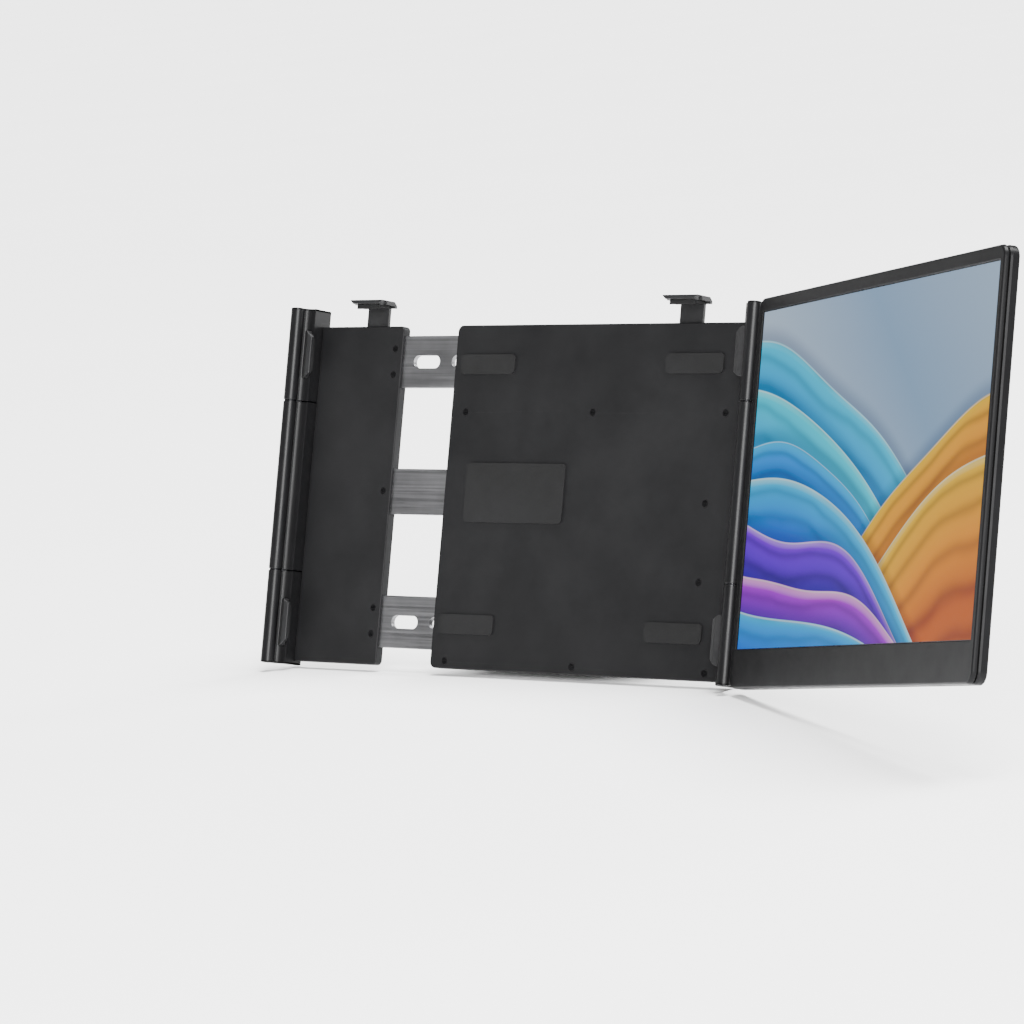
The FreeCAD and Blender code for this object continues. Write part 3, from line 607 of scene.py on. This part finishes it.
def refine(node, mm=0.3, seg=3, angle=34, merge=0.00002, name=None, tweak=None):
    """a copy of a CAD node's mesh with its sharp edges rolled"""
    src = N[node]
    me = src.data.copy()
    bm = bmesh.new()
    bm.from_mesh(me)
    bmesh.ops.remove_doubles(bm, verts=bm.verts, dist=merge)
    if tweak:
        tweak(bm)
    bmesh.ops.dissolve_limit(bm, angle_limit=math.radians(0.6), verts=bm.verts, edges=bm.edges)
    bm.to_mesh(me)
    bm.free()
    o = bpy.data.objects.new(name or node + "_skin", me)
    bpy.context.scene.collection.objects.link(o)
    me.materials.clear()
    me.materials.append(MAT[SLOT[node]])
    bevel(o, mm, seg, angle)
    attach(o, src["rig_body"])
    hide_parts(node)
    return o


for n, mm in (("right_clip_upper", 0.22), ("right_clip_lower", 0.22), ("left_clip_upper", 0.22), ("left_clip_lower", 0.22),
              ("right_hook", 0.2), ("left_hook", 0.2), ("right_hook_pad", 0.25), ("left_hook_pad", 0.25),
              ("left_panel", 0.3), ("hub_front_plate", 0.25), ("hub_rear_cover", 0.25),
              ("kickstand_foot", 0.4), ("kickstand_brackets", 0.3),
              ("power_button", 0.2), ("plus_button", 0.2), ("minus_button", 0.2)):
    refine(n, mm)
refine("screen_rear_shell", 0.12, 2, 18, tweak=shell_facet)


# ----------------------------------------------------------- clamp springs
def coils():
    """two tension springs of one wire each; the real ones shorten as the left frame slides in, these are built at one
    length
    """
    bm = bmesh.new()
    wire, rad, turns, per, sides = 0.28, 1.18, 80, 14, 7
    for zc in (-8.0, 8.0):
        path = [Vector((-38.9, 0.0, 0.0)), Vector((-37.4, 0.0, 0.0))]
        n = turns * per
        for i in range(n + 1):
            t = i / n
            r = rad * min(1.0, 2.0 * t * turns, 2.0 * (1.0 - t) * turns)
            a = 2.0 * math.pi * turns * t
            path.append(Vector((-35.7 + 123.4 * t, r * math.cos(a), r * math.sin(a))))
        path += [Vector((89.4, 0.0, 0.0)), Vector((90.9, 0.0, 0.0))]
        side = Vector((0.0, 1.0, 0.0))
        prev = None
        for k, p in enumerate(path):
            tan = (path[min(k + 1, len(path) - 1)] - path[max(k - 1, 0)]).normalized()
            side = (side - tan * side.dot(tan)).normalized()
            up = tan.cross(side)
            ring = []
            for j in range(sides):
                b = 2.0 * math.pi * j / sides
                q = p + side * (wire * math.cos(b)) + up * (wire * math.sin(b))
                ring.append(bm.verts.new(U(q.x, 10.4 + q.y, zc + q.z)))
            if prev:
                for j in range(sides):
                    bm.faces.new((prev[j], prev[(j + 1) % sides], ring[(j + 1) % sides], ring[j]))
            else:
                bm.faces.new(ring[::-1])
            prev = ring
        bm.faces.new(prev)
    bmesh.ops.recalc_face_normals(bm, faces=bm.faces)
    me = bpy.data.meshes.new("clamp_coils")
    bm.to_mesh(me)
    bm.free()
    o = bpy.data.objects.new("clamp_coils", me)
    bpy.context.scene.collection.objects.link(o)
    me.materials.append(MAT[SLOT["clamp_springs"]])
    shade(o, 50)
    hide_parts("clamp_springs")
    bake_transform(o)


coils()

# ------------------------------------------------------- floor, light, camera
FLOOR_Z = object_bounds()[0][2] - 0.0005


def floor():
    bm = bmesh.new()
    s = 90.0
    vs = [bm.verts.new((x, y, FLOOR_Z)) for x, y in ((-s, -s), (s, -s), (s, s), (-s, s))]
    bm.faces.new(vs)
    me = bpy.data.meshes.new("floor")
    bm.to_mesh(me)
    bm.free()
    o = bpy.data.objects.new("floor", me)
    bpy.context.scene.collection.objects.link(o)
    m, t, b = nt("floor_paint")
    co = t.nodes.new("ShaderNodeTexCoord").outputs["Object"]
    t.links.new(ramp(t, noise(t, co, 2.0, 3.0), [(0.3, (0.90, 0.90, 0.90)), (0.7, (0.92, 0.92, 0.92))]), b.inputs["Base Color"])
    b.inputs["Roughness"].default_value = 0.85
    b.inputs["Specular IOR Level"].default_value = 0.1
    me.materials.append(m)


floor()
w = bpy.data.worlds.new("world")
bpy.context.scene.world = w
w.use_nodes = True
w.node_tree.nodes["Background"].inputs[0].default_value = (1.0, 1.0, 1.0, 1.0)
w.node_tree.nodes["Background"].inputs[1].default_value = 0.38


def area(name, loc, target, size, power, size_y=None):
    l = bpy.data.lights.new(name, "AREA")
    l.energy = power
    l.shape = "RECTANGLE"
    l.size = size
    l.size_y = size_y or size
    o = bpy.data.objects.new(name, l)
    bpy.context.scene.collection.objects.link(o)
    o.location = loc
    d = Vector(target) - Vector(loc)
    o.rotation_euler = d.to_track_quat("-Z", "Y").to_euler()
    return o


# overhead daylight that whitens the floor, and one tall soft box over the camera
sun = bpy.data.lights.new("overhead", "SUN")
sun.energy = 13.0
sun.angle = math.radians(40)
so = bpy.data.objects.new("overhead", sun)
bpy.context.scene.collection.objects.link(so)
so.rotation_euler = (math.radians(-14), math.radians(10), 0.0)
area("key", (2.75, -2.85, 1.45), (0.1, 0.0, 0.0), 2.0, 310, 2.4)
area("rim", (0.8, 3.0, 0.9), (0.2, 0, 0), 0.8, 70, 1.8)

cam = bpy.data.cameras.new("camera")
cam.sensor_width = 36.0
cam.sensor_fit = "HORIZONTAL"
cam.lens = 179.2957
cam.clip_end = 400.0
co = bpy.data.objects.new("camera", cam)
bpy.context.scene.collection.objects.link(co)
co.matrix_world = Matrix((
    (0.73664945, -0.01613097, 0.67608238, 2.06597),
    (0.67029560, 0.15006005, -0.72676391, -2.22367),
    (-0.08972955, 0.98854528, 0.12135417, 0.35977),
    (0.0, 0.0, 0.0, 1.0)))
bpy.context.scene.camera = co
